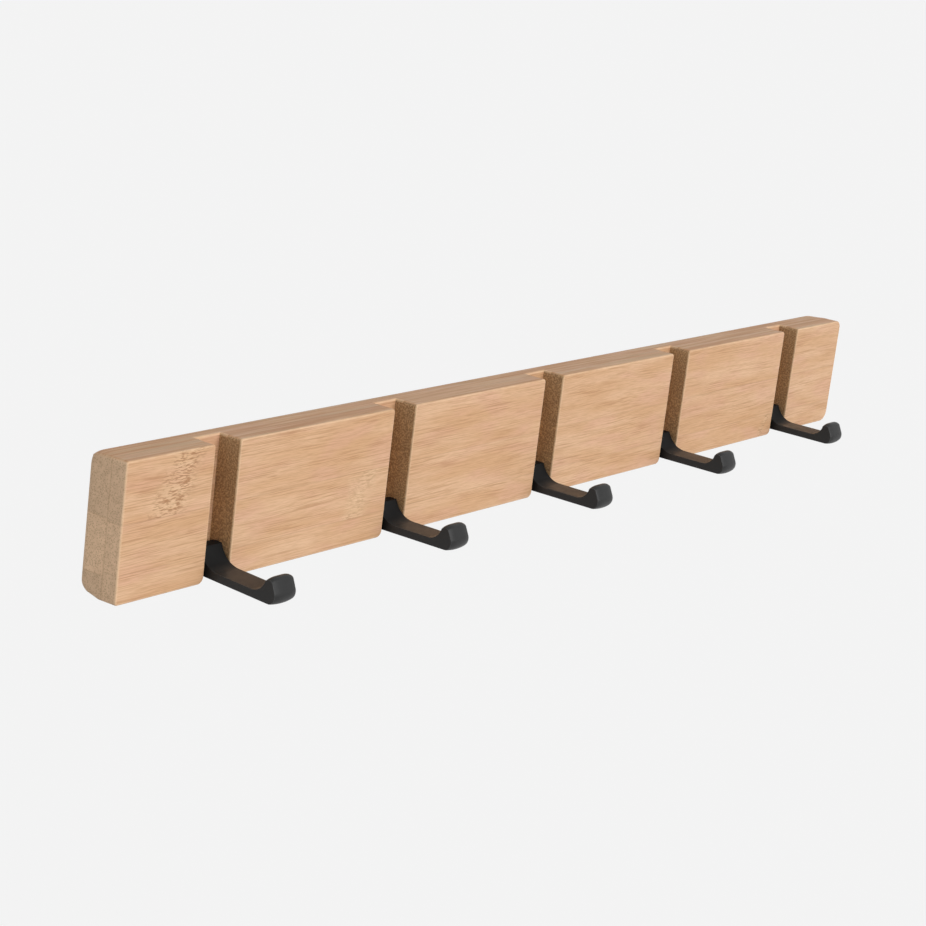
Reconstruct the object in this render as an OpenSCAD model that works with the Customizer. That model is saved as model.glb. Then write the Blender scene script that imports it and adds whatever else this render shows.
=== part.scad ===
// Wall hook rack: a laminated bamboo rail with five folding coat hooks.
//
// The rail is a back panel with six blocks glued to its front. The gaps between the blocks are
// the slots that the hooks fold into. Each hook turns on a steel pin that lies in the glue line.
// X runs along the rail, -Y points into the room and +Z is up. The origin is the centre of the
// back face, which hangs against the wall.

/* [Rail] */
// Length of the whole rail
rail_l = 600; // [480:10:900]
// Height of the whole rail
rail_h = 60; // [50:1:80]
// Thickness of the back panel
panel_t = 14; // [10:0.5:18]
// Thickness of the front blocks
block_t = 8; // [6.5:0.5:12]
// Distance from each end of the rail to the middle of its nearest hook
end_margin = 60; // [45:1:90]
// Radius of the rail's back edges
back_edge_r = 5; // [0.5:0.5:6]
// Radius of the lower corners of the blocks beside a slot
foot_corner_r = 3; // [0.5:0.5:4]
// Radius of the upper corners of the blocks beside a slot
slot_corner_r = 1.5; // [0.5:0.25:3]
// Radius of the rail's corners at its left end
left_corner_r = 1.5; // [0.5:0.25:4]
// Radius of the rail's upper right corner
right_corner_r = 4; // [0.5:0.25:5]
// Radius of the rail's lower right corner, which is sanded rounder than the others
low_right_r = 6; // [0.5:0.5:10]

/* [Hooks] */
// Width of a hook
hook_w = 13.5; // [10:0.5:20]
// Room between a hook and each side of its slot
side_gap = 1; // [0.6:0.1:2]
// Height of an open hook's underside above the rail's lower edge
foot_gap = 3; // [1:0.5:8]
// How far a folded hook's tip stays below the rail's upper edge
tip_gap = 2.7; // [0.5:0.1:10]
// How far a folded hook lies behind the front of the blocks
flush_gap = 0.2; // [0:0.1:1]
// Thickness of the arm
arm_t = 3.5; // [2.5:0.25:4.5]
// Room between a folded hook's lip and the back of its slot
lip_gap = 0.7; // [0.3:0.1:2]
// Radius of the lip's top
lip_top_r = 2.4; // [1.5:0.1:3]
// Radius of the lip's outer foot
toe_r = 3.8; // [2:0.1:4.4]
// How far the middle of the lip's top lies behind the tip
lip_setback = 4.6; // [3.2:0.1:6]
// Radius of the hollow in front of the lip, where a coat loop hangs
cradle_r = 6.9; // [5:0.1:7.5]
// Radius of the hub around the pin
hub_r = 3.7; // [3:0.1:4.5]
// Radius of the hollow brace between the head and the arm
brace_r = 11.5; // [8:0.5:14]
// Distance from the pin to the place where the brace meets the arm
brace_reach = 14.5; // [13:0.5:20]
// Radius of the heel's lower corner
heel_r = 1; // [0.3:0.1:2]

/* [Hinges] */
// Diameter of the hinge pins
pin_d = 3; // [2:0.1:4]
// How far a pin reaches into the wood on each side of its slot
pin_bite = 10; // [6:1:14]
// Room around the pin in the glued groove
groove_gap = 0.03; // [0.02:0.01:0.1]
// Room around the pin in the hook's bore
bore_gap = 0.06; // [0.03:0.01:0.1]
// Gap between a square hook's heel and the back of its slot
heel_gap = 0.4; // [0.2:0.05:0.6]
// Gap left there by a hook that has sunk onto its stop
stop_gap = 0.03; // [0.02:0.01:0.1]
// Number of the hook that has sunk onto its stop, counted from the left, or 0 for none
sunk_hook = 1; // [0:1:5]
// How far a friction washer's rim lies inside the hub's
washer_inset = 0.3; // [0.1:0.1:0.6]
// Room on each face of a washer
washer_gap = 0.05; // [0.02:0.01:0.1]

/* [Hangers] */
// Width of a keyhole plate
plate_w = 18; // [16:1:24]
// Height of a keyhole plate
plate_h = 42; // [38:1:46]
// Thickness of a keyhole plate
plate_t = 1.5; // [1:0.1:2]
// Room around a plate in its recess
plate_gap = 0.2; // [0.1:0.05:0.5]
// Diameter of the round hole that a wall screw's head enters
entry_d = 9; // [8:0.5:10]
// Width of the narrow slot that the wall screw's neck slides up
neck_w = 4.6; // [4:0.1:5.5]
// How far the wall screw slides up from the round hole
neck_rise = 9.5; // [8:0.5:12]
// Depth of the pocket for the wall screw's head, behind the plate
head_pocket_d = 4; // [3:0.5:5]
// Room around the wall screw's head in that pocket
head_pocket_gap = 1; // [0.5:0.5:1.5]
// Distance from a plate's end to its fixing screw
plate_screw_in = 4; // [3.5:0.5:5]
// Shank diameter of the fixing screws
screw_d = 2.5; // [2:0.1:3]
// Head diameter of the fixing screws
screw_head_d = 5; // [4:0.1:6]
// Length of the fixing screws
screw_l = 8; // [6:0.5:8.5]
// Room around the screws in the wood and in the plate
screw_gap = 0.05; // [0.02:0.01:0.1]
// Width of each bar of the cross in the screws' heads
cross_w = 0.7; // [0.5:0.1:1]
// Depth of the cross
cross_d = 1; // [0.5:0.1:1]
// Metal left between the foot of the cross and the head's slanted side
cross_edge = 0.1; // [0.1:0.05:0.3]

/* [Hidden] */
$fn = 64;
// How far a cut reaches past the face that it opens
cut = 1;

hook_n = 5;
middle_n = hook_n - 1;

hook_pitch = (rail_l - 2 * end_margin) / (hook_n - 1);
slot_w = hook_w + 2 * side_gap;
middle_l = hook_pitch - slot_w;
end_l = end_margin - slot_w / 2;

// Each list of corner radii starts at the lower left and goes round anticlockwise.
rail_corners = [left_corner_r, low_right_r, right_corner_r, left_corner_r];
left_corners = [left_corner_r, foot_corner_r, slot_corner_r, left_corner_r];
middle_corners = [foot_corner_r, foot_corner_r, slot_corner_r, slot_corner_r];
right_corners = [foot_corner_r, low_right_r, right_corner_r, slot_corner_r];

// The pin lies in the glue line, and the recess behind it clears the hub.
pin_a = panel_t;
recess_d = hub_r + heel_gap;

// Folding turns the underside to the front, so the pin's height sets how flush the hook lies.
pin_b = block_t - flush_gap;
underside_z = -rail_h / 2 + foot_gap;
pin_z = underside_z + pin_b;

// The hook is as long and its lip as high as the slot can take when it is folded.
tip_a = pin_a + rail_h / 2 - tip_gap - pin_z;
lip_h = pin_b + recess_d - lip_gap;
head_b = pin_b + hub_r;

// A hook sinks until its heel, below the pin, comes up to the back of the slot.
sunk_angle = asin((heel_gap - stop_gap) / (pin_b - heel_r));

// The middles of the rounds of the lip's toe and top, and the outer face that touches them both.
toe = [tip_a - toe_r, toe_r];
lip_top = [tip_a - lip_setback, lip_h - lip_top_r];
face_l = sqrt(norm(lip_top - toe) ^ 2 - (toe_r - lip_top_r) ^ 2);
face_lean = atan2(lip_top.y - toe.y, lip_top.x - toe.x) - atan2(face_l, toe_r - lip_top_r);

// The hollow in front of the lip runs into the round of the lip's top at its inner side.
cradle_b = arm_t + cradle_r;
cradle_a = lip_top.x - lip_top_r - sqrt(cradle_r ^ 2 - (cradle_b - lip_top.y) ^ 2);
cradle = [cradle_a, cradle_b];

pin_l = slot_w + 2 * pin_bite;
groove_r = pin_d / 2 + groove_gap;
bore_r = pin_d / 2 + bore_gap;
washer_r = hub_r - washer_inset;
washer_t = side_gap - 2 * washer_gap;

// The hangers sit behind the middle of the outermost middle blocks.
hanger_x = hook_pitch * (middle_n - 1) / 2;
entry_z = -neck_rise / 2;
neck_z = neck_rise / 2;
screw_z = plate_h / 2 - plate_screw_in;
screw_head_h = (screw_head_d - screw_d) / 2;
cross_l = screw_head_d - 2 * cross_d - 2 * cross_edge;

bamboo = "burlywood";
end_bamboo = "tan";
black_zinc = "#2b2b2b";
steel = "silver";
nylon = "#242424";

hook_names = [for (i = [1:hook_n]) str("hook_", i)];
pin_names = [for (i = [1:hook_n]) str("hinge_pin_", i)];
block_names = [for (i = [1:middle_n]) str("middle_block_", i)];
single_names = ["back_panel", "left_end_block", "right_end_block", "friction_washers",
    "left_hanger_plate", "right_hanger_plate", "hanger_screws"];

// Middle of slot i, counted from 1 at the left end.
function slot_x(i) = (i - (hook_n + 1) / 2) * hook_pitch;

// A rod of radius r along X, with its middle at the origin.
module rod(r, l) {
    rotate([0, 90, 0]) cylinder(r = r, h = l, center = true);
}

// A rectangle of width w on the X axis and depth t towards -Y, with its two corners at Y = 0 round.
module backed_section(w, t, r) {
    translate([-w / 2, -t]) square([w, t - r]);
    translate([r - w / 2, -t]) square([w - 2 * r, t]);
    for (side = [-1, 1]) translate([side * (w / 2 - r), -r]) circle(r);
}

// What a round of radius r takes off a corner at the origin.
module corner_waste(r) {
    difference() {
        translate([-cut, -cut]) square(r + cut);
        translate([r, r]) circle(r);
    }
}

// A rectangle that stands on the X axis from the origin, with a radius for each corner.
module rounded_outline(w, h, corners) {
    places = [[0, 0], [w, 0], [w, h], [0, h]];
    difference() {
        square([w, h]);
        for (k = [0:3]) translate(places[k]) rotate(k * 90) corner_waste(corners[k]);
    }
}

// A board as high as the rail and t thick. It starts at x, and its back face is y from the wall.
module board(x, y, w, t, corners) {
    translate([x, -y, -rail_h / 2])
        rotate([90, 0, 0]) linear_extrude(t) rounded_outline(w, rail_h, corners);
}

// The grooves that hold the pins, half in the panel and half in the blocks.
module pin_grooves() {
    for (i = [1:hook_n]) translate([slot_x(i), -pin_a, pin_z]) rod(groove_r, pin_l + 2 * groove_gap);
}

module back_panel() {
    color(bamboo) difference() {
        intersection() {
            board(-rail_l / 2, 0, rail_l, panel_t, rail_corners);
            linear_extrude(rail_h, center = true) backed_section(rail_l, panel_t, back_edge_r);
            rotate([0, 90, 0])
                linear_extrude(rail_l, center = true) backed_section(rail_h, panel_t, back_edge_r);
        }
        for (i = [1:hook_n])
            translate([slot_x(i) - slot_w / 2, -panel_t - cut, -rail_h / 2 - cut])
                cube([slot_w, recess_d + cut, rail_h + 2 * cut]);
        pin_grooves();
        for (side = [-1, 1]) translate([side * hanger_x, 0, 0]) hanger_recess();
    }
}

// The shallow recess for a keyhole plate, with the deeper pocket for the wall screw's head and two
// pilot holes.
module hanger_recess() {
    recess_w = plate_w + 2 * plate_gap;
    recess_h = plate_h + 2 * plate_gap;
    pocket_w = entry_d + 2 * head_pocket_gap;
    pocket_h = pocket_w + neck_rise;
    translate([-recess_w / 2, -plate_t, -recess_h / 2]) cube([recess_w, plate_t + cut, recess_h]);
    translate([-pocket_w / 2, -plate_t - head_pocket_d, -pocket_h / 2])
        cube([pocket_w, head_pocket_d + cut, pocket_h]);
    for (side = [-1, 1])
        translate([0, 0, side * screw_z])
            rotate([90, 0, 0]) cylinder(d = screw_d + 2 * screw_gap, h = screw_l + screw_gap);
}

module front_block(x, w, corners) {
    color(end_bamboo) difference() {
        board(x, panel_t, w, block_t, corners);
        pin_grooves();
    }
}

// The lip's outline, upright. Its outer face runs up at toe_r from the middle of its toe.
module lip_outline() {
    top = [toe_r - lip_top_r, face_l];
    circle(toe_r);
    translate(top) circle(lip_top_r);
    polygon([[-toe_r, 0], [toe_r, 0], [toe_r, face_l], top]);
}

// The hook's side outline. The first axis runs out from the wall, the second up from the underside.
module hook_outline() {
    heel_a = pin_a - hub_r;
    difference() {
        union() {
            // heel, hub and head
            translate([heel_a, heel_r]) square([hub_r, pin_b - heel_r]);
            translate([heel_a + heel_r, heel_r]) circle(heel_r);
            translate([pin_a, pin_b]) circle(hub_r);
            // brace and arm
            translate([pin_a, 0]) square([brace_reach, head_b]);
            translate([heel_a + heel_r, 0]) square([toe.x - heel_a - heel_r, arm_t]);
            // lip
            polygon([[cradle.x, 0], [toe.x, 0], toe, lip_top, cradle]);
            translate(toe) rotate(face_lean) lip_outline();
        }
        translate([pin_a + brace_reach, arm_t + brace_r]) circle(brace_r);
        translate(cradle) circle(cradle_r);
    }
}

module hook(i) {
    sunk = i == sunk_hook ? sunk_angle : 0;
    color(black_zinc) translate([slot_x(i), -pin_a, pin_z]) rotate([sunk, 0, 0]) difference() {
        rotate([90, 0, -90])
            linear_extrude(hook_w, center = true) translate([-pin_a, -pin_b]) hook_outline();
        rod(bore_r, hook_w + 2 * cut);
    }
}

module hinge_pin(i) {
    color(steel) translate([slot_x(i), -pin_a, pin_z]) rod(pin_d / 2, pin_l);
}

// Two washers on each pin, one on each side of the hook.
module friction_washers() {
    color(nylon)
        for (i = [1:hook_n], side = [-1, 1])
            translate([slot_x(i) + side * (hook_w + side_gap) / 2, -pin_a, pin_z]) difference() {
                rod(washer_r, washer_t);
                rod(bore_r, washer_t + 2 * cut);
            }
}

module keyhole_outline() {
    translate([0, entry_z]) circle(d = entry_d);
    translate([-neck_w / 2, entry_z]) square([neck_w, neck_rise]);
    translate([0, neck_z]) circle(d = neck_w);
}

module hanger_plate(side) {
    color(steel) translate([side * hanger_x, 0, 0]) difference() {
        rotate([90, 0, 0]) linear_extrude(plate_t) difference() {
            square([plate_w, plate_h], center = true);
            keyhole_outline();
        }
        for (end = [-1, 1]) translate([0, 0, end * screw_z]) screw_shape(screw_gap);
    }
}

// A countersunk screw driven in from the back face, grown by the room that it needs around it.
module screw_shape(room) {
    r = screw_d / 2 + room;
    head_r = screw_head_d / 2 + room;
    rotate([90, 0, 0]) {
        cylinder(r = r, h = screw_l);
        cylinder(r1 = head_r, r2 = r, h = screw_head_h);
    }
}

// The cross that the screwdriver turns, cut into a head from the back face.
module cross_recess() {
    for (size = [[cross_l, cross_w], [cross_w, cross_l]])
        translate([-size.x / 2, -cross_d, -size.y / 2]) cube([size.x, cross_d + cut, size.y]);
}

module hanger_screws() {
    color(steel)
        for (side = [-1, 1], end = [-1, 1])
            translate([side * hanger_x, 0, end * screw_z]) difference() {
                screw_shape(0);
                cross_recess();
            }
}

back_panel();
front_block(-rail_l / 2, end_l, left_corners);  // left_end_block
front_block(rail_l / 2 - end_l, end_l, right_corners);  // right_end_block
friction_washers();
hanger_plate(-1);  // left_hanger_plate
hanger_plate(1);  // right_hanger_plate
hanger_screws();
for (i = [1:middle_n])
    front_block(slot_x(i) + slot_w / 2, middle_l, middle_corners);
for (i = [1:hook_n]) hook(i);
for (i = [1:hook_n]) hinge_pin(i);
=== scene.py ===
import math

import bmesh
import bpy
from mathutils import Matrix, Vector


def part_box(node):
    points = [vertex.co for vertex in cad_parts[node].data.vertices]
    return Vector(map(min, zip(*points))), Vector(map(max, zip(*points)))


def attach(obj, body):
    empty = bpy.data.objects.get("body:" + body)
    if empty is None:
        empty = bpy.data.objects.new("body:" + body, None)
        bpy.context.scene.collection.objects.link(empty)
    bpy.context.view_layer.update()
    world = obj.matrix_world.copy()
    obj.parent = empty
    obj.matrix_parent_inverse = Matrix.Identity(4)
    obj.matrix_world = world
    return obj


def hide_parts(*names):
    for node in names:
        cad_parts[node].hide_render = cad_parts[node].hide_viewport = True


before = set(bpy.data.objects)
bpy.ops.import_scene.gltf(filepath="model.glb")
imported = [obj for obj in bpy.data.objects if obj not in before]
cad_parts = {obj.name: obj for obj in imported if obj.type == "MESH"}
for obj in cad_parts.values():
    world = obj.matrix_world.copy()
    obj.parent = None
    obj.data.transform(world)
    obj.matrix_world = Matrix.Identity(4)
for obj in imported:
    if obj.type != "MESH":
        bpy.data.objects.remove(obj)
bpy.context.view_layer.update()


# ---------------------------------------------------------------------------
# The back panel: one board, laminated from flat strips of bamboo glued edge to edge. It is planed,
# its slots are routed, its back edges are rounded over, and it is sealed with a clear matt lacquer.
# ---------------------------------------------------------------------------

MM = 0.001
panel_low, panel_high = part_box("back_panel")
RAIL_HALF = panel_high.x / MM
PLY_JOINT = panel_low.y / MM


def linear(code):
    """An sRGB hex colour as the linear one that shaders take."""
    parts = [int(code[k:k + 2], 16) / 255 for k in (1, 3, 5)]
    return [c / 12.92 if c <= 0.04045 else ((c + 0.055) / 1.055) ** 2.4 for c in parts] + [1.0]


def add(tree, kind, inputs, **settings):
    """Adds one shader node with its settings, and gives its outputs. The inputs are a list in the
    node's own order or a dictionary. Each is a number, a hex colour or another node's output."""
    made = tree.nodes.new("ShaderNode" + kind)
    for name, value in settings.items():
        setattr(made, name, value)
    for name, value in inputs.items() if isinstance(inputs, dict) else enumerate(inputs):
        if isinstance(value, bpy.types.NodeSocket):
            tree.links.new(value, made.inputs[name])
        else:
            made.inputs[name].default_value = linear(value) if isinstance(value, str) else value
    return made.outputs


def fresh(name):
    """A new material with nothing in it."""
    material = bpy.data.materials.new(name)
    material.use_nodes = True
    material.node_tree.nodes.clear()
    return material, material.node_tree


GLUE = "#9C744E"               # the lines of glue between strips and between the two plies
PLY_GLUE = (0.1, 0.4, 0.28, 0.0)       # two distances in mm from a line, and how much shows at each
STRIP_GLUE = (0.1, 0.4, 0.18, 0.0)


def glued_strips(tree, y, z, glue_lines, shades):
    """Which strip a point is in, counted from the lowest, its shade, and how much glue shows."""
    off = add(tree, "Math", [y, PLY_JOINT], operation="SUBTRACT")[0]
    off = add(tree, "Math", [off], operation="ABSOLUTE")[0]
    glue = add(tree, "MapRange", [off, *PLY_GLUE])[0]
    strip, shade = 0.0, shades[0]
    for k, height in enumerate(glue_lines):
        above = add(tree, "Math", [z, height], operation="GREATER_THAN")[0]
        strip = add(tree, "Math", [above, strip], operation="ADD")[0]
        step = shades[k + 1] - shades[k]
        shade = add(tree, "Math", [above, step, shade], operation="MULTIPLY_ADD")[0]
        off = add(tree, "Math", [z, height], operation="SUBTRACT")[0]
        off = add(tree, "Math", [off], operation="ABSOLUTE")[0]
        near = add(tree, "MapRange", [off, *STRIP_GLUE])[0]
        glue = add(tree, "Math", [glue, near], operation="MAXIMUM")[0]
    return strip, shade, glue


BOARD_STEP = 120.0             # mm from one front board to the next
CUT_APART = 300.0              # mm of cane, at most, between the grain of one strip and another


def own_cane(tree, at, x, strip, boards):
    """Moves each strip of each board to its own place in the cane, so that no two share a grain.
    The boards are counted along the rail, and the two at its ends are short."""
    ends = (-RAIL_HALF - BOARD_STEP / 2, RAIL_HALF - BOARD_STEP / 2)
    board = add(tree, "MapRange", [x, *ends, 0.0, boards - 1.0], clamp=False)[0]
    board = add(tree, "Math", [board], operation="FLOOR")[0]
    key = add(tree, "CombineXYZ", [board, strip, float(boards)])[0]
    chance = add(tree, "TexWhiteNoise", {"Vector": key}, noise_dimensions="3D")["Color"]
    apart = (CUT_APART, CUT_APART, CUT_APART)
    return add(tree, "VectorMath", [chance, apart, at], operation="MULTIPLY_ADD")[0]


SAPWOOD = "#E3BB96"            # the pale ground between the fibres
HONEY = "#D5A87E"              # the commoner, warmer ground
ROSE = "#DCAA90"               # pinker clouds, from nearer the middle of the cane's wall
FIBRE = "#A9764A"              # bundles of dark fibre, cut lengthwise
# Nearly every pattern in the bamboo is noise. Its size is in mm along the rail, out of the wall and
# up. What ends in _SHOW gives two levels of that noise, and how much of the pattern shows at each.
WANDERS = (90.0, 30.0, 25.0)   # how the lines of fibre wander off straight
WANDER = 1.5                   # mm by which they do so at most
LINES = (28.0, 0.4, 0.38)      # one line of fibre, drawn about twice as thick as it is
LINES_SHOW = (0.48, 0.64, 0.0, 1.0)
CROWDS = (40.0, 6.0, 6.0)      # where those lines show more, and where less
CROWDS_SHOW = (0.38, 0.62, 0.2, 0.52)
HAIRS = (6.0, 0.3, 0.3)        # the finest broken lines between them
HAIRS_SHOW = (0.42, 0.66, 0.0, 0.24)
CLOUDS = (70.0, 8.0, 8.0)      # clouds of the warmer ground
CLOUDS_SHOW = (0.36, 0.62, 0.1, 0.9)
BLUSHES = (28.0, 9.0, 9.0)     # clouds of the pinker ground
BLUSHES_SHOW = (0.48, 0.66, 0.0, 0.4)


def grain_along(tree, cane):
    """A face cut along the cane: its colour, and the noise that makes its lines and its hairs."""
    spot = add(tree, "VectorMath", [cane, WANDERS], operation="DIVIDE")[0]
    wander = add(tree, "TexNoise", {"Vector": spot, "Scale": 1.0, "Detail": 1.0})[0]
    wander = add(tree, "MapRange", [wander, 0.0, 1.0, -WANDER, WANDER])[0]
    wander = add(tree, "CombineXYZ", [0.0, wander, wander])[0]
    flowing = add(tree, "VectorMath", [cane, wander], operation="ADD")[0]

    spot = add(tree, "VectorMath", [flowing, LINES], operation="DIVIDE")[0]
    lines = add(tree, "TexNoise", {"Vector": spot, "Scale": 1.0, "Detail": 1.0})[0]
    spot = add(tree, "VectorMath", [flowing, CROWDS], operation="DIVIDE")[0]
    crowd = add(tree, "TexNoise", {"Vector": spot, "Scale": 1.0, "Detail": 1.0})[0]
    crowd = add(tree, "MapRange", [crowd, *CROWDS_SHOW])[0]
    fibres = add(tree, "MapRange", [lines, *LINES_SHOW])[0]
    fibres = add(tree, "Math", [fibres, crowd], operation="MULTIPLY")[0]
    spot = add(tree, "VectorMath", [flowing, HAIRS], operation="DIVIDE")[0]
    hairs = add(tree, "TexNoise", {"Vector": spot, "Scale": 1.0, "Detail": 1.0})[0]
    hairs = add(tree, "MapRange", [hairs, *HAIRS_SHOW])[0]

    spot = add(tree, "VectorMath", [flowing, CLOUDS], operation="DIVIDE")[0]
    warm = add(tree, "TexNoise", {"Vector": spot, "Scale": 1.0, "Detail": 2.0})[0]
    warm = add(tree, "MapRange", [warm, *CLOUDS_SHOW])[0]
    spot = add(tree, "VectorMath", [flowing, BLUSHES], operation="DIVIDE")[0]
    pink = add(tree, "TexNoise", {"Vector": spot, "Scale": 1.0, "Detail": 1.0})[0]
    pink = add(tree, "MapRange", [pink, *BLUSHES_SHOW])[0]
    face = add(tree, "Mix", {0: warm, 6: SAPWOOD, 7: HONEY}, data_type="RGBA")[2]
    face = add(tree, "Mix", {0: pink, 6: face, 7: ROSE}, data_type="RGBA")[2]
    face = add(tree, "Mix", {0: fibres, 6: face, 7: FIBRE}, data_type="RGBA")[2]
    face = add(tree, "Mix", {0: hairs, 6: face, 7: FIBRE}, data_type="RGBA")[2]
    return face, lines, hairs


PLANED_AND_SHADED = "#B78458"             # long reddish streaks where the board's narrow edges are planed, and painted shade on them
PLANED_SHADE_SHOW = (0.42, 0.6, 0.0, 0.85)
WEATHERED_AND_SHADED = "#AA906C"          # long greyer streaks beside them, also painted shade
WEATHERED_SHADE_SHOW = (0.52, 0.38, 0.0, 0.4)
STREAKS = (90.0, 2.2, 9.0)
LOOKS_UP = (0.6, 0.9)          # how far up or down a face turns where streaks start and are full


def streaked_and_shaded_edges(tree, cane, facing_up, face):
    """The face's colour, streakier and darker on the board's narrow upper and lower edges, partly
    with painted shade.
    """
    narrow = add(tree, "Math", [facing_up], operation="ABSOLUTE")[0]
    narrow = add(tree, "MapRange", [narrow, *LOOKS_UP])[0]
    spot = add(tree, "VectorMath", [cane, STREAKS], operation="DIVIDE")[0]
    streak = add(tree, "TexNoise", {"Vector": spot, "Scale": 1.0, "Detail": 2.0})[0]
    # painted shade in part: these streaks darken the narrow top and bottom faces
    for tint, show in ((PLANED_AND_SHADED, PLANED_SHADE_SHOW), (WEATHERED_AND_SHADED, WEATHERED_SHADE_SHOW)):
        share = add(tree, "MapRange", [streak, *show])[0]
        share = add(tree, "Math", [share, narrow], operation="MULTIPLY")[0]
        face = add(tree, "Mix", {0: share, 6: face, 7: tint}, data_type="RGBA")[2]
    return face


BLEACHED = "#EAC9A2"           # the paler wood at a joint of the cane
KNUCKLE = "#A06C42"            # the short crooked fibres in it
DASHES = (4.2, 0.55, 0.55)     # one of those fibres
DASHES_SHOW = (0.46, 0.62, 0.0, 1.0)
BENDS = 3.2                    # mm from one bend of such a fibre to the next
BEND = 1.3                     # mm by which it bends
RAGS = 9.0                     # mm from one tongue of a joint's ragged edge to the next
RAG = 9.0                      # mm by which that edge strays at most
CORE = 0.3                     # the share of a joint's half width that shows it in full
LEAN = 0.4                     # mm that a joint leans along the board for each mm down


def knuckle_bands(tree, at, x, z, face, knuckles):
    """The face's colour, with a ragged leaning band of crooked fibres at each joint of the cane.
    Each joint has its place along the rail at the middle of its strip, the strip's lower and upper
    edge, half its own width, how dark its fibres are and how pale its ground is."""
    bent = add(tree, "TexNoise", {"Vector": at, "Scale": 1 / BENDS, "Detail": 1.0})["Color"]
    bent = add(tree, "VectorMath", [bent, (BEND, BEND, BEND), at], operation="MULTIPLY_ADD")[0]
    spot = add(tree, "VectorMath", [bent, DASHES], operation="DIVIDE")[0]
    crooked = add(tree, "TexNoise", {"Vector": spot, "Scale": 1.0, "Detail": 1.0})[0]
    crooked = add(tree, "MapRange", [crooked, *DASHES_SHOW])[0]
    ragged = add(tree, "TexNoise", {"Vector": at, "Scale": 1 / RAGS, "Detail": 2.0})[0]
    ragged = add(tree, "MapRange", [ragged, 0.0, 1.0, -RAG, RAG])[0]
    for along, (low, high), half, dark, pale in knuckles:
        off = add(tree, "Math", [z, (low + high) / 2], operation="SUBTRACT")[0]
        off = add(tree, "Math", [off, -LEAN, x], operation="MULTIPLY_ADD")[0]
        off = add(tree, "Math", [off, along], operation="SUBTRACT")[0]
        off = add(tree, "Math", [off, ragged], operation="ADD")[0]
        off = add(tree, "Math", [off], operation="ABSOLUTE")[0]
        band = add(tree, "MapRange", [off, half * CORE, half, 1.0, 0.0])[0]
        for edge, way in ((low, "GREATER_THAN"), (high, "LESS_THAN")):
            inside = add(tree, "Math", [z, edge], operation=way)[0]
            band = add(tree, "Math", [band, inside], operation="MULTIPLY")[0]
        share = add(tree, "Math", [band, pale], operation="MULTIPLY")[0]
        face = add(tree, "Mix", {0: share, 6: face, 7: BLEACHED}, data_type="RGBA")[2]
        share = add(tree, "Math", [band, crooked], operation="MULTIPLY")[0]
        share = add(tree, "Math", [share, dark], operation="MULTIPLY")[0]
        face = add(tree, "Mix", {0: share, 6: face, 7: KNUCKLE}, data_type="RGBA")[2]
    return face


END_GRAIN = "#E0BE9B"          # fibres cut across, as the rail's sawn and sanded ends show them
ROUTED_AND_SHADED = "#C8A173"             # the slots' walls, cut across, scorched a little by the router and darkened as painted shade
END_ZONE = 10.0                # mm from the rail's tip where a cut face is its end, not a slot's
END_FIBRE = "#9C7A59"          # the bundles themselves, cut across
PORES = (12.0, 0.8, 0.8)       # one of those bundles
PORES_SHOW = (0.15, 0.5, 0.6, 0.0)     # at two distances from its middle, not levels of noise
PATCHES = (30.0, 3.0, 3.0)     # patches where they are denser
PATCHES_SHOW = (0.35, 0.65, 0.0, 0.2)
SCORCHED = "#6A4B2E"           # fibres torn by the router in a slot's wall
TORN = (12.0, 0.8, 0.8)
TORN_SHOW = (0.42, 0.62, 0.6, 0.0)


def grain_across(tree, cane, x, shade):
    """The colour of a face cut across the cane, where its bundles show as specks. The walls of the
    slots are darker than the rail's ends, with router scorch and painted shade."""
    spot = add(tree, "VectorMath", [cane, PORES], operation="DIVIDE")[0]
    pores = add(tree, "TexVoronoi", {"Vector": spot, "Scale": 1.0})["Distance"]
    pores = add(tree, "MapRange", [pores, *PORES_SHOW])[0]
    spot = add(tree, "VectorMath", [cane, PATCHES], operation="DIVIDE")[0]
    patches = add(tree, "TexNoise", {"Vector": spot, "Scale": 1.0, "Detail": 3.0})[0]
    patches = add(tree, "MapRange", [patches, *PATCHES_SHOW])[0]
    outer = add(tree, "Math", [x], operation="ABSOLUTE")[0]
    outer = add(tree, "Math", [outer, RAIL_HALF - END_ZONE], operation="GREATER_THAN")[0]
    # painted shade in part: the slots' walls take a darker colour than the rail's ends
    end = add(tree, "Mix", {0: outer, 6: ROUTED_AND_SHADED, 7: END_GRAIN}, data_type="RGBA")[2]
    end = add(tree, "Mix", {0: patches, 6: end, 7: END_FIBRE}, data_type="RGBA")[2]
    end = add(tree, "Mix", {0: pores, 6: end, 7: END_FIBRE}, data_type="RGBA")[2]
    spot = add(tree, "VectorMath", [cane, TORN], operation="DIVIDE")[0]
    torn = add(tree, "TexNoise", {"Vector": spot, "Scale": 1.0, "Detail": 2.0})[0]
    torn = add(tree, "MapRange", [torn, *TORN_SHOW])[0]
    inner = add(tree, "Math", [1.0, outer], operation="SUBTRACT")[0]
    torn = add(tree, "Math", [torn, inner], operation="MULTIPLY")[0]
    end = add(tree, "Mix", {0: torn, 6: end, 7: SCORCHED}, data_type="RGBA")[2]
    return add(tree, "HueSaturation", {"Color": end, "Value": shade})[0]


BARE_AND_HIGHLIT_EDGE = "#EBC9A2"          # eased edges, sanded through to dry wood, and paler with a painted edge highlight
PALE_SPOTS_PER_MM = 0.22              # pale spots along an edge, about one in each 4.5 mm
PALE_SPOTS_SHOW = (0.35, 0.65, 0.25, 0.5)
LOOKS_ALONG = (0.45, 0.85)     # how far endways a face turns where cut fibres start and are full
LACQUER_ROUGH = (0.3, 0.7, 0.44, 0.6)  # two levels of the lines' noise, and how rough it is there
END_ROUGHER = 0.15             # how much rougher the lacquer is where the board is cut across


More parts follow.
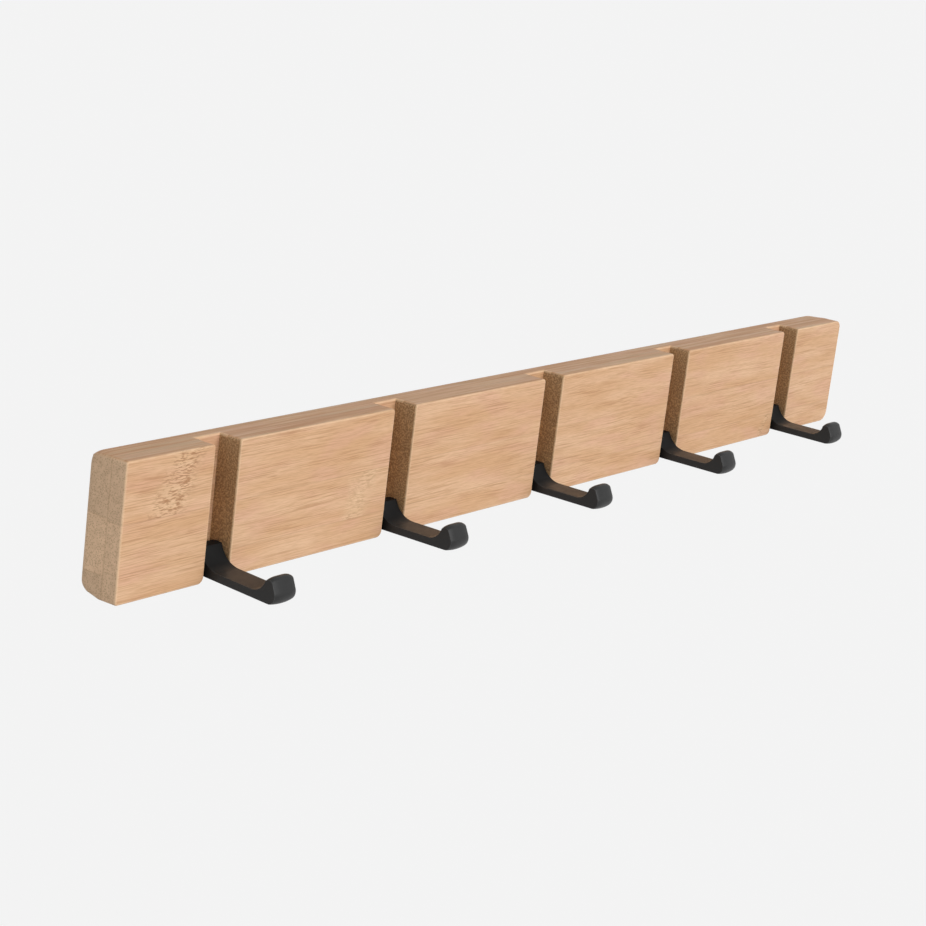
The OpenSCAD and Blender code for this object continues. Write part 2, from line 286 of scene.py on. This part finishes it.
def bamboo(name, glue_lines, shades, boards, knuckles):
    """Bamboo strips glued into boards, planed, sanded and sealed with a matt lacquer. It gives the
    eye a soft honey sheen with fine broken lines, specks on the ends, pale edges that are sanded
    and carry a painted edge highlight, painted shade on the slots' walls and in part on the narrow
    faces, and bands of short crooked fibres where the cane had its joints."""
    material, tree = fresh(name)
    place = add(tree, "TexCoord", {})
    at = add(tree, "VectorMath", {0: place["Object"], "Scale": 1 / MM}, operation="SCALE")[0]
    x, y, z = add(tree, "SeparateXYZ", [at])
    facing_end, _, facing_up = add(tree, "SeparateXYZ", [place["Normal"]])

    strip, shade, glue = glued_strips(tree, y, z, glue_lines, shades)
    cane = own_cane(tree, at, x, strip, boards)
    face, lines, hairs = grain_along(tree, cane)
    face = streaked_and_shaded_edges(tree, cane, facing_up, face)
    face = knuckle_bands(tree, at, x, z, face, knuckles)
    end = grain_across(tree, cane, x, shade)
    across = add(tree, "Math", [facing_end], operation="ABSOLUTE")[0]
    across = add(tree, "MapRange", [across, *LOOKS_ALONG])[0]
    colour = add(tree, "Mix", {0: across, 6: face, 7: end}, data_type="RGBA")[2]
    colour = add(tree, "Mix", {0: glue, 6: colour, 7: GLUE}, data_type="RGBA")[2]

    # pale rounded edges: sanded-through wood and a painted edge highlight
    edge = add(tree, "Attribute", {}, attribute_name="edge")["Fac"]
    sanded_and_highlit = add(tree, "TexNoise", {"Vector": at, "Scale": PALE_SPOTS_PER_MM, "Detail": 3.0})[0]
    sanded_and_highlit = add(tree, "MapRange", [sanded_and_highlit, *PALE_SPOTS_SHOW])[0]
    sanded_and_highlit = add(tree, "Math", [sanded_and_highlit, edge], operation="MULTIPLY")[0]
    colour = add(tree, "Mix", {0: sanded_and_highlit, 6: colour, 7: BARE_AND_HIGHLIT_EDGE}, data_type="RGBA")[2]

    rough = add(tree, "MapRange", [lines, *LACQUER_ROUGH])[0]
    rough = add(tree, "Math", [across, END_ROUGHER, rough], operation="MULTIPLY_ADD")[0]
    height = add(tree, "Math", [lines, hairs], operation="ADD")[0]
    relief = add(tree, "Bump", {"Height": height, "Strength": 0.3, "Distance": 0.04 * MM})[0]
    shader = add(tree, "BsdfPrincipled", {"Base Color": colour, "Roughness": rough,
                                          "Normal": relief, "IOR": 1.45})[0]
    add(tree, "OutputMaterial", [shader])
    return material


WELD = 1e-6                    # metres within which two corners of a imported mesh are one
FLAT = 0.01                    # radians below which two faces are one flat face
SHARP = math.radians(40)       # an edge that turns more than this may be rounded
CREASE = math.radians(32)      # an edge that turns more than this is not shaded smooth
NEAR = 0.01 * MM               # how near to a plane an edge has to be to lie in it
SNAP = 0.03 * MM               # a cut this near a corner of the mesh runs through it


def sharp(edge):
    """Whether two faces meet at an angle at this edge."""
    return edge.calc_face_angle() > SHARP


def lies(edge, axis, level):
    """Whether an edge lies in the plane at that level of an axis, "x", "y" or "z"."""
    return all(abs(getattr(v.co, axis) - level) < NEAR for v in edge.verts)


def crease(mesh):
    """Shades a mesh smooth except across its sharp edges."""
    mesh.normal_update()
    for face in mesh.faces:
        face.smooth = True
    for edge in mesh.edges:
        edge.smooth = edge.is_manifold and edge.calc_face_angle() < CREASE


def remake(node, name, pick, width, segments=3):
    """Copies a node's mesh into a new piece, merges its triangles into flat faces and rounds the
    edges that pick(edge) chooses. The new round is marked in the attribute "edge"."""
    piece = bpy.data.objects.new(name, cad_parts[node].data.copy())
    bpy.context.scene.collection.objects.link(piece)
    piece.data.materials.clear()
    mesh = bmesh.new()
    mesh.from_mesh(piece.data)
    mark = mesh.faces.layers.float.new("edge")
    bmesh.ops.remove_doubles(mesh, verts=mesh.verts, dist=WELD)
    bmesh.ops.dissolve_limit(mesh, angle_limit=FLAT, verts=mesh.verts, edges=mesh.edges)
    mesh.normal_update()
    chosen = [e for e in mesh.edges if e.is_manifold and pick(e)]
    made = bmesh.ops.bevel(mesh, geom=chosen, offset=width, segments=segments, profile=0.5,
                           affect="EDGES", clamp_overlap=True)
    for face in made["faces"]:
        face[mark] = 1.0
    crease(mesh)
    mesh.to_mesh(piece.data)
    mesh.free()
    weighted = piece.modifiers.new("weighted", "WEIGHTED_NORMAL")
    weighted.keep_sharp = True
    return piece


def cut(mesh, faces, planes):
    """Cuts the faces that faces() picks along planes, each given by a point and a normal."""
    for point, normal in planes:
        parts = dict.fromkeys(part for face in faces() for part in (face, *face.edges, *face.verts))
        bmesh.ops.bisect_plane(mesh, geom=list(parts), dist=SNAP, plane_co=point, plane_no=normal)


SANDED_FROM = -12.0 * MM       # the depth at which the sanding of the panel's corners starts
SANDED_FULL = -3.0 * MM        # the depth from which they are as round as they get
SANDED_STEPS = 4               # rows of faces across a sanded corner


def sand_corners(piece, low, high, end, reach, foot, top):
    """Rounds a board's corners at one end (-1 left, 1 right), more and more towards its back. The
    sanding reaches that far in from the corners, and foot and top are the shares of a full round
    that it gives the lower and the upper corner. The board's middle is at height 0."""
    mesh = bmesh.new()
    mesh.from_mesh(piece.data)
    tip = high.x if end > 0 else low.x
    steps = [reach * k / SANDED_STEPS for k in range(SANDED_STEPS, 0, -1)]
    cut(mesh, lambda: mesh.faces, [((tip - end * reach, 0, 0), (1, 0, 0))])
    cut(mesh, lambda: [f for f in mesh.faces if abs(f.calc_center_median().x - tip) < reach],
        [((0, SANDED_FROM, 0), (0, 1, 0))]
        + [((tip - end * k, 0, 0), (1, 0, 0)) for k in steps[1:]]
        + [((0, 0, way * (high.z - k)), (0, 0, 1)) for k in steps for way in (1, -1)])
    for v in mesh.verts:
        along, up = reach - abs(v.co.x - tip), abs(v.co.z) - high.z + reach
        if along > 0 and up > 0:
            share = min(1, max(0, (v.co.y - SANDED_FROM) / (SANDED_FULL - SANDED_FROM)))
            share *= foot if v.co.z < 0 else top
            pull = 1 - share * (1 - max(along, up) / math.hypot(along, up))
            v.co.x = tip - end * (reach - along * pull)
            v.co.z = math.copysign(high.z - reach + up * pull, v.co.z)
    bmesh.ops.dissolve_degenerate(mesh, dist=SNAP, edges=mesh.edges)
    crease(mesh)
    mesh.to_mesh(piece.data)
    mesh.free()


SLOT_EASED = 1.0 * MM          # the round on the rims of the slots' recesses in the panel
RECESS_MOST = 5.0 * MM         # none of them is deeper than this
PANEL_GLUE_LINES = (-19.2, 4.8)        # mm above the middle of the rail
PANEL_SHADES = (0.9, 1.06, 0.93)       # how light each strip's cut end is, the lowest strip first
# each end of the rail (-1 left, 1 right), how far its corners are sanded, and how nearly its lower
# and its upper corner reach a full round there
SANDED_ENDS = ((-1, 6.0 * MM, 1.0, 0.6), (1, 9.0 * MM, 0.6, 0.8))


def rims_recess(edge):
    """Whether an edge rims a slot's recess where that opens at the panel's top or bottom."""
    return (sharp(edge) and (lies(edge, "z", panel_low.z) or lies(edge, "z", panel_high.z))
            and not lies(edge, "y", panel_low.y)
            and max(v.co.y for v in edge.verts) < panel_low.y + RECESS_MOST)


panel = remake("back_panel", "panel_board", rims_recess, SLOT_EASED)
panel.data.materials.append(bamboo("lacquered bamboo, panel", PANEL_GLUE_LINES, PANEL_SHADES,
                                   boards=1, knuckles=[]))
for end, reach, foot, top in SANDED_ENDS:
    sand_corners(panel, panel_low, panel_high, end, reach, foot, top)
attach(panel, "rail")
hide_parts("back_panel")


# ---------------------------------------------------------------------------
# The six front blocks: bamboo boards sawn across, with rounded corners beside the slots. They are
# glued to the panel over the hinge pins, and their front edges are eased with fine paper.
# ---------------------------------------------------------------------------

BLOCKS = ["left_end_block", "middle_block_1", "middle_block_2", "middle_block_3",
          "middle_block_4", "right_end_block"]
EASED = 0.8 * MM               # the round on their front edges
LOWER_STRIP = (-30.0, -17.4)   # a strip's lower and upper edge, in mm above the rail's middle
MIDDLE_STRIP = (-17.4, 3.6)    # its edges are the lines of glue
UPPER_STRIP = (3.6, 30.0)
BLOCK_SHADES = (0.97, 1.03, 0.95)
# each joint of the cane that shows: where it is, in mm along the rail, its strip, half its width,
# how dark its fibres are and how pale its ground is
CANE_JOINTS = [(-268.0, UPPER_STRIP, 13.0, 0.8, 0.3), (-147.0, MIDDLE_STRIP, 11.0, 0.4, 0.45),
               (221.0, LOWER_STRIP, 3.5, 0.8, 0.3)]

block_bamboo = bamboo("lacquered bamboo, blocks", MIDDLE_STRIP, BLOCK_SHADES,
                      boards=len(BLOCKS), knuckles=CANE_JOINTS)
for node in BLOCKS:
    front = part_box(node)[0].y
    block = remake(node, node + "_board", lambda e: sharp(e) and lies(e, "y", front), EASED)
    block.data.materials.append(block_bamboo)
    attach(block, "rail")
    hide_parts(node)


# ---------------------------------------------------------------------------
# The five hooks: zinc die castings, tumbled so that their edges are soft, and powder coated in
# satin black. Each turns on its pin, with its lip turned up at the tip.
# ---------------------------------------------------------------------------

HOOKS = ["hook_1", "hook_2", "hook_3", "hook_4", "hook_5"]
COAT = "#2E2E2E"
RUBBED_AND_HIGHLIT = "#4A4A4A"             # the coat where hands and coats have rubbed its edges, paler also as a painted edge highlight
HUB_PAINTED_SHADE = "#060606"         # painted shade on the coat round the hub, where the slot shades it
TUMBLED = 0.5 * MM
PEEL = 0.9 * MM                # one dimple of the melted powder
HANDLED = 9 * MM               # patches that handling has left a little glossier
COAT_ROUGH = (0.35, 0.65, 0.3, 0.4)    # levels of those patches, and how rough the coat is there
HUB_ROUGHER = 0.3            # how much rougher the coat is round the hub
ROWS = 10                      # rows of faces across a hook's width
LIP_DEPTH = 11.0 * MM          # how far the lip reaches back from the tip
CROWN = 1.1 * MM               # how far the lip's upper corners drop below its middle
CROWN_FROM = 7.0 * MM          # how far below the lip's top that starts
BELLY = 0.6 * MM               # how far the middle of the lip's foot hangs below the arm
BELLY_TO = 5.0 * MM            # how far up the lip that reaches
BELLY_IN = 5.5 * MM            # how far into the lip it hangs in full
CHEEK = 0.7 * MM               # how far the lip's sides fall back behind the middle of its face
CHEEK_TO = 5.0 * MM            # how far back from the tip that reaches
block_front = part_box("middle_block_1")[0].y
HUB_SHADE_DEPTHS = (block_front - 7 * MM, block_front - 1 * MM)        # depths between which the painted shade and the roughness round the hub grow

# Satin powder coat: the dimples of melted powder, paler along its rounded edges with rubbing and a
# painted edge highlight, and painted shade round the hub, where it is also rougher. It gives soft
# grey highlights on the lip and the arm.
coat, tree = fresh("satin black powder coat")
at = add(tree, "TexCoord", {})["Object"]
peel = add(tree, "TexNoise", {"Vector": at, "Scale": 1 / PEEL, "Detail": 2.0})[0]
cloud = add(tree, "TexNoise", {"Vector": at, "Scale": 1 / HANDLED, "Detail": 3.0})[0]
edge = add(tree, "Attribute", {}, attribute_name="edge")["Fac"]
# paler rounded edges in patches: rubbed coat and a painted edge highlight
worn_and_highlit = add(tree, "Math", [edge, cloud], operation="MULTIPLY")[0]
tint = add(tree, "Mix", {0: worn_and_highlit, 6: COAT, 7: RUBBED_AND_HIGHLIT}, data_type="RGBA")[2]
depth = add(tree, "SeparateXYZ", [at])[1]
# painted shade: the coat goes darker towards the hub, where the slot shades it
hub_shade = add(tree, "MapRange", [depth, *HUB_SHADE_DEPTHS])[0]
tint = add(tree, "Mix", {0: hub_shade, 6: tint, 7: HUB_PAINTED_SHADE}, data_type="RGBA")[2]
rough = add(tree, "MapRange", [cloud, *COAT_ROUGH])[0]
rough = add(tree, "Math", [hub_shade, HUB_ROUGHER, rough], operation="MULTIPLY_ADD")[0]
relief = add(tree, "Bump", {"Height": peel, "Strength": 0.25, "Distance": 0.03 * MM})[0]
shader = add(tree, "BsdfPrincipled", {"Base Color": tint, "Roughness": rough, "Normal": relief,
                                      "IOR": 1.45, "Specular IOR Level": 0.2})[0]
add(tree, "OutputMaterial", [shader])


def cast(piece, low, high):
    """Gives a hook's lip the full form of the casting: its upper corners drop, its foot hangs and
    its sides fall back. The higher a power is, the closer that stays to the hook's sides."""
    mesh = bmesh.new()
    mesh.from_mesh(piece.data)
    rows = [((low.x + (high.x - low.x) * k / ROWS, 0, 0), (1, 0, 0)) for k in range(1, ROWS)]
    cut(mesh, lambda: mesh.faces, rows)
    middle, half = (low.x + high.x) / 2, (high.x - low.x) / 2
    lip = [v for v in mesh.verts if v.co.y < low.y + LIP_DEPTH]
    top = max(v.co.z for v in lip)
    foot = min(v.co.z for v in lip)
    for v in lip:
        side = min(1.0, abs(v.co.x - middle) / half)
        into = min(1.0, (low.y + LIP_DEPTH - v.co.y) / BELLY_IN)
        rise = max(0.0, 1 - (top - v.co.z) / CROWN_FROM)
        sink = max(0.0, 1 - (v.co.z - foot) / BELLY_TO) * into
        fore = max(0.0, 1 - (v.co.y - low.y) / CHEEK_TO)
        v.co.z -= CROWN * rise * rise * side ** 4
        v.co.z -= BELLY * sink * (1 - side ** 2)
        v.co.y += CHEEK * fore * side ** 3
    mesh.to_mesh(piece.data)
    mesh.free()


for node in HOOKS:
    low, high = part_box(node)
    hook = remake(node, node + "_casting",
                  lambda e: sharp(e) and (lies(e, "x", low.x) or lies(e, "x", high.x)), TUMBLED)
    cast(hook, low, high)
    hook.data.materials.append(coat)
    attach(hook, node)
    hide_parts(node)


# ---------------------------------------------------------------------------
# The hinges: a drawn steel pin through each hook, held in the glue line, and a moulded nylon washer
# on each side of the hook that gives the hinge its friction.
# ---------------------------------------------------------------------------

PINS = ["hinge_pin_1", "hinge_pin_2", "hinge_pin_3", "hinge_pin_4", "hinge_pin_5"]
DRAWN_STEEL = "#C9C8C4"
OILED_STEEL = "#A29F98"
# along and across a scratch from the drawing die, drawn coarser than it is so that it shows
DRAW_MARKS = (20 * MM, 0.4 * MM, 0.4 * MM)
STEEL_ROUGH = (0.3, 0.7, 0.22, 0.38)   # two levels of their noise, and how rough it is there
OIL_SPOT = 4 * MM              # one spot of the film of oil
OIL_SHOW = (0.45, 0.65, 0.0, 1.0)
NYLON = "#202021"
NYLON_SCUFF = "#39393A"
SCUFF = 0.35 * MM              # one scuff that the hook rubs into a washer
SCUFFS_SHOW = (0.5, 0.7, 0.0, 1.0)
NYLON_ROUGH = (0.3, 0.7, 0.42, 0.58)

# Drawn steel: bright, with fine scratches along the pin that blur what it reflects, and duller
# spots of oil.
steel, tree = fresh("drawn bright steel")
at = add(tree, "TexCoord", {})["Object"]
spot = add(tree, "VectorMath", [at, DRAW_MARKS], operation="DIVIDE")[0]
marks = add(tree, "TexNoise", {"Vector": spot, "Scale": 1.0, "Detail": 3.0})[0]
oil = add(tree, "TexNoise", {"Vector": at, "Scale": 1 / OIL_SPOT, "Detail": 2.0})[0]
oil = add(tree, "MapRange", [oil, *OIL_SHOW])[0]
colour = add(tree, "Mix", {0: oil, 6: DRAWN_STEEL, 7: OILED_STEEL}, data_type="RGBA")[2]
rough = add(tree, "MapRange", [marks, *STEEL_ROUGH])[0]
relief = add(tree, "Bump", {"Height": marks, "Strength": 0.2, "Distance": 0.02 * MM})[0]
shader = add(tree, "BsdfPrincipled", {"Base Color": colour, "Metallic": 1.0, "Roughness": rough,
                                      "Normal": relief})[0]
add(tree, "OutputMaterial", [shader])

# Moulded nylon: dull black, with small grey scuffs and a faint moulded grain.
nylon, tree = fresh("black moulded nylon")
at = add(tree, "TexCoord", {})["Object"]
grain = add(tree, "TexNoise", {"Vector": at, "Scale": 1 / SCUFF, "Detail": 2.0})[0]
scuff = add(tree, "MapRange", [grain, *SCUFFS_SHOW])[0]
colour = add(tree, "Mix", {0: scuff, 6: NYLON, 7: NYLON_SCUFF}, data_type="RGBA")[2]
rough = add(tree, "MapRange", [grain, *NYLON_ROUGH])[0]
relief = add(tree, "Bump", {"Height": grain, "Strength": 0.2, "Distance": 0.02 * MM})[0]
shader = add(tree, "BsdfPrincipled", {"Base Color": colour, "Roughness": rough, "Normal": relief,
                                      "IOR": 1.53})[0]
add(tree, "OutputMaterial", [shader])

for node in PINS:
    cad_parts[node].material_slots[0].material = steel
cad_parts["friction_washers"].material_slots[0].material = nylon


# ---------------------------------------------------------------------------
# The hangers: two keyhole plates pressed from sheet steel and zinc plated, let into the panel's
# back and each held by two countersunk steel screws with a cross recess.
# ---------------------------------------------------------------------------

PLATES = ["left_hanger_plate", "right_hanger_plate"]
PLATING = "#BFC3C8"
PLATING_DULL = "#9BA1A8"
PRESSED = 0.2 * MM             # the round that blanking leaves on a plate's outline
SPANGLE = 2.5 * MM             # one crystal of the zinc
DULLEST = 0.6                  # how dull the dullest crystal is
WIPE_MARKS = (0.6 * MM, 10 * MM, 10 * MM)      # across and along a wipe mark
PLATING_ROUGH = 0.2            # where it is smoothest
WIPED_ROUGHER = 0.2            # how much rougher a wipe mark makes it
CRYSTAL_ROUGHER = 0.12         # how much rougher the dullest crystal is
SCREW_EASED = 0.1 * MM

# Zinc plate: bluish, each crystal a slightly different grey, and duller along the marks of wiping.
plating, tree = fresh("zinc plated sheet steel")
at = add(tree, "TexCoord", {})["Object"]
crystal = add(tree, "TexVoronoi", {"Vector": at, "Scale": 1 / SPANGLE})["Color"]
crystal = add(tree, "SeparateXYZ", [crystal])[0]
spot = add(tree, "VectorMath", [at, WIPE_MARKS], operation="DIVIDE")[0]
wipes = add(tree, "TexNoise", {"Vector": spot, "Scale": 1.0, "Detail": 3.0})[0]
share = add(tree, "Math", [crystal, DULLEST], operation="MULTIPLY")[0]
colour = add(tree, "Mix", {0: share, 6: PLATING, 7: PLATING_DULL}, data_type="RGBA")[2]
rough = add(tree, "Math", [wipes, WIPED_ROUGHER, PLATING_ROUGH], operation="MULTIPLY_ADD")[0]
rough = add(tree, "Math", [crystal, CRYSTAL_ROUGHER, rough], operation="MULTIPLY_ADD")[0]
relief = add(tree, "Bump", {"Height": wipes, "Strength": 0.15, "Distance": 0.02 * MM})[0]
shader = add(tree, "BsdfPrincipled", {"Base Color": colour, "Metallic": 1.0, "Roughness": rough,
                                      "Normal": relief})[0]
add(tree, "OutputMaterial", [shader])

for node in PLATES:
    low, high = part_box(node)
    plate = remake(node, node + "_pressing",
                   lambda e: sharp(e) and (lies(e, "y", low.y) or lies(e, "y", high.y)),
                   PRESSED, segments=2)
    plate.data.materials.append(plating)
    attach(plate, "rail")
    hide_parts(node)

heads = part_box("hanger_screws")[1].y
screws = remake("hanger_screws", "countersunk_screws",
                lambda e: sharp(e) and lies(e, "y", heads), SCREW_EASED, segments=2)
screws.data.materials.append(steel)
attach(screws, "rail")
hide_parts("hanger_screws")


# ---------------------------------------------------------------------------
# The studio: a plain pale paper floor well below the rail, one wide soft lamp from the front, a
# weaker one from the left, an even pale surround, and the camera.
# ---------------------------------------------------------------------------

PAPER = "#F9F9F9"
PAPER_GREY = 0.7               # how much light the paper gives back to the rail
GLOW = 0.9                     # how much of the paper's look is its own even white
FLOOR_DROP = 0.5               # metres below the middle of the rail
FLOOR_HALF = 20.0              # metres from its middle to its sides
FLOOR_SQUARES = 4
# the way each lamp's light comes from, its strength, and its spread in degrees
KEY_FROM, KEY_POWER, KEY_SPREAD = (0.12, -0.88, 0.42), 2.15, 50
FILL_FROM, FILL_POWER, FILL_SPREAD = (-0.90, -0.15, 0.40), 1.0, 80
SURROUND = 0.23                # the strength of the even light from all round
BACKDROP = "#F3F3F3"           # the same white as the lit paper, so that no horizon shows

floor_mesh = bmesh.new()
bmesh.ops.create_grid(floor_mesh, x_segments=FLOOR_SQUARES, y_segments=FLOOR_SQUARES,
                      size=FLOOR_HALF)
floor = bpy.data.objects.new("studio_floor", bpy.data.meshes.new("studio_floor"))
floor_mesh.to_mesh(floor.data)
floor_mesh.free()
floor.location = (0, 0, -FLOOR_DROP)
bpy.context.scene.collection.objects.link(floor)


def in_view(tree):
    """1 where the camera sees a surface, itself or in a reflection, and 0 where light falls."""
    path = add(tree, "LightPath", {})
    seen = add(tree, "Math", [path["Is Camera Ray"], path["Is Glossy Ray"]], operation="MAXIMUM")[0]
    return add(tree, "Math", [seen, path["Is Transmission Ray"]], operation="MAXIMUM")[0]


# Pale paper: matt, almost white, and hardly darker where the rail keeps light off it.
paper, tree = fresh("pale studio paper")
lit = add(tree, "BsdfDiffuse", [[PAPER_GREY, PAPER_GREY, PAPER_GREY, 1.0]])[0]
glow = add(tree, "Emission", [PAPER, 1.0])[0]
share = add(tree, "Math", [in_view(tree), GLOW], operation="MULTIPLY")[0]
both = add(tree, "MixShader", [share, lit, glow])[0]
add(tree, "OutputMaterial", [both])
floor.data.materials.append(paper)

# The surround lights the rail evenly, and shows as a plain white backdrop.
world = bpy.data.worlds.new("surround")
bpy.context.scene.world = world
world.use_nodes = True
tree = world.node_tree
tree.nodes.clear()
soft = add(tree, "Background", [[1.0, 1.0, 1.0, 1.0], SURROUND])[0]
pale = add(tree, "Background", [BACKDROP, 1.0])[0]
both = add(tree, "MixShader", [in_view(tree), soft, pale])[0]
add(tree, "OutputWorld", [both])

for name, source, power, spread in (("key_lamp", KEY_FROM, KEY_POWER, KEY_SPREAD),
                                    ("fill_lamp", FILL_FROM, FILL_POWER, FILL_SPREAD)):
    lamp = bpy.data.lights.new(name, "SUN")
    lamp.energy = power
    lamp.angle = math.radians(spread)
    holder = bpy.data.objects.new(name, lamp)
    holder.rotation_euler = Vector(source).to_track_quat("Z", "Y").to_euler()
    bpy.context.scene.collection.objects.link(holder)

# The camera stands in front at the left, a little above the rail, and is tipped clockwise.
CAMERA_AT = Vector((-0.9873, -0.6531, 0.28843))        # metres from the middle of the rail's back
YAW, PITCH, ROLL = (math.radians(a) for a in (55.4699, 14.6918, 7.0012))
LENS, SENSOR = 95.34, 36.0     # mm
FAR = 100.0                    # metres that it sees

ahead = Vector((math.sin(YAW) * math.cos(PITCH), math.cos(YAW) * math.cos(PITCH), -math.sin(PITCH)))
sideways = ahead.cross(Vector((0, 0, 1))).normalized()
upright = sideways.cross(ahead)
right = sideways * math.cos(ROLL) + upright * math.sin(ROLL)
up = upright * math.cos(ROLL) - sideways * math.sin(ROLL)
camera = bpy.data.objects.new("camera", bpy.data.cameras.new("camera"))
camera.data.lens = LENS
camera.data.sensor_width = SENSOR
camera.data.clip_end = FAR
camera.matrix_world = (Matrix.Translation(CAMERA_AT)
                       @ Matrix((right, up, -ahead)).transposed().to_4x4())
bpy.context.scene.collection.objects.link(camera)
bpy.context.scene.camera = camera
bpy.context.scene.view_settings.view_transform = "Standard"
